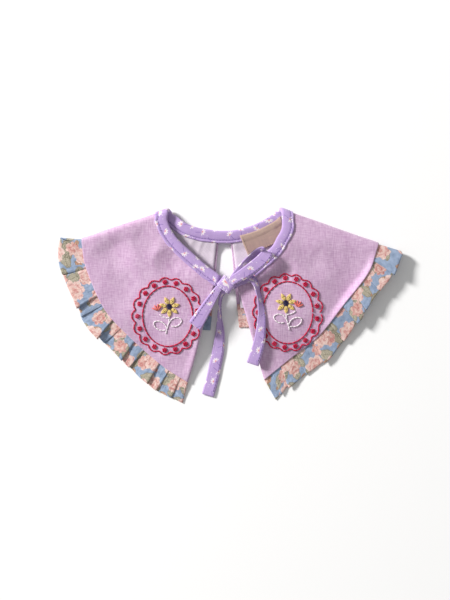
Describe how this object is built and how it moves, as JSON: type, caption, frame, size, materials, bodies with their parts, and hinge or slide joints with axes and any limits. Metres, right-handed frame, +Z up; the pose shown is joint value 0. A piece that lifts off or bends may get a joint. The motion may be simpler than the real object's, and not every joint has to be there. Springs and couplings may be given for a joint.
{
  "type": "embroidered collar",
  "caption": "Child's detachable cloth collar with two pointed front flaps, a gathered outer ruffle, a bound neckline and tape ties in a bow. It lies flat, folded at the shoulders.",
  "frame": {"origin": "bottom centre of the bounding box, on the surface that the collar lies on", "axes": "+X towards the right-hand shoulder as seen from above, +Y towards the neck, +Z up"},
  "size_m": [0.3408, 0.1974, 0.0219],
  "materials": {
    "lilac_linen": "matt plain weave",
    "white_cotton": "matt plain weave",
    "floral_cotton": "matt printed cotton",
    "violet_tape": "matt printed cotton",
    "woven_label": "matt woven tape"
  },
  "bodies": {
    "root": {"left_panel": "lilac_linen", "right_panel": "lilac_linen", "left_lining": "white_cotton", "right_lining": "white_cotton", "left_ruffle": "floral_cotton", "right_ruffle": "floral_cotton", "neck_binding": "violet_tape", "bow_knot": "violet_tape", "bow_loop_left": "violet_tape", "bow_loop_right": "violet_tape", "tie_tail_left": "violet_tape", "tie_tail_right": "violet_tape", "label": "woven_label"}
  },
  "joints": []
}
